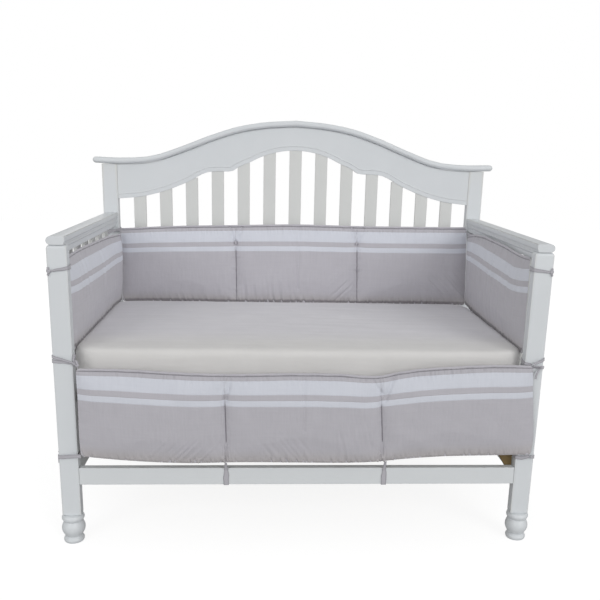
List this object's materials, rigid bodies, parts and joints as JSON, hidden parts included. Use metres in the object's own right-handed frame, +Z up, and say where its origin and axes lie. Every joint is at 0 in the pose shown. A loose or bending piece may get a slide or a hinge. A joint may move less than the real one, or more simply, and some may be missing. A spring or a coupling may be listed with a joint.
{
  "type": "crib bumper on a crib with its mattress",
  "caption": "Padded cloth panels with white bands, tied with cloth tapes around the inside and across the open front of a slatted crib with an arched head board and a mattress.",
  "frame": {"origin": "middle of the overall footprint, on the floor", "axes": "+X along the crib towards its right end, +Y from the open front to the head board, +Z up"},
  "size_m": [1.4692, 0.8396, 1.2567],
  "materials": {
    "painted_wood": "satin off-white paint over wood",
    "raw_wood": "bare wood",
    "panel_cloth": "plain woven cotton, warm grey with two white bands, matt",
    "sheet_cloth": "fine woven sheet, light warm grey, matt",
    "tape_cloth": "folded and stitched grey cloth tape, matt"
  },
  "bodies": {
    "root": {"post_front_left": "painted_wood", "post_front_right": "painted_wood", "post_back_left": "painted_wood", "post_back_right": "painted_wood", "side_left_cap": "painted_wood", "side_left_rail": "painted_wood", "side_left_low_rail": "painted_wood", "side_left_slat_1": "painted_wood", "side_left_slat_2": "painted_wood", "side_left_slat_3": "painted_wood", "side_left_slat_4": "painted_wood", "side_left_slat_5": "painted_wood", "side_left_slat_6": "painted_wood", "side_right_cap": "painted_wood", "side_right_rail": "painted_wood", "side_right_low_rail": "painted_wood", "side_right_slat_1": "painted_wood", "side_right_slat_2": "painted_wood", "side_right_slat_3": "painted_wood", "side_right_slat_4": "painted_wood", "side_right_slat_5": "painted_wood", "side_right_slat_6": "painted_wood", "head_cap": "painted_wood", "head_board": "painted_wood", "head_slat_1": "painted_wood", "head_slat_2": "painted_wood", "head_slat_3": "painted_wood", "head_slat_4": "painted_wood", "head_slat_5": "painted_wood", "head_slat_6": "painted_wood", "head_slat_7": "painted_wood", "head_slat_8": "painted_wood", "head_slat_9": "painted_wood", "head_slat_10": "painted_wood", "head_slat_11": "painted_wood", "head_slat_12": "painted_wood", "head_slat_13": "painted_wood", "front_low_rail": "painted_wood", "head_low_rail": "painted_wood", "mattress_base": "raw_wood", "corner_block": "raw_wood", "mattress": "sheet_cloth", "pad_back": "panel_cloth", "pad_front": "panel_cloth", "pad_left": "panel_cloth", "pad_right": "panel_cloth", "tie_left_top": "tape_cloth", "tie_left_low": "tape_cloth", "tie_right_top": "tape_cloth", "tie_right_low": "tape_cloth", "tie_back_left": "tape_cloth", "tie_back_right": "tape_cloth", "tie_front_left_top": "tape_cloth", "tie_front_left_low": "tape_cloth", "tie_front_right_top": "tape_cloth", "tie_front_right_low": "tape_cloth", "tie_seam_left": "tape_cloth", "tie_seam_right": "tape_cloth"}
  },
  "joints": []
}
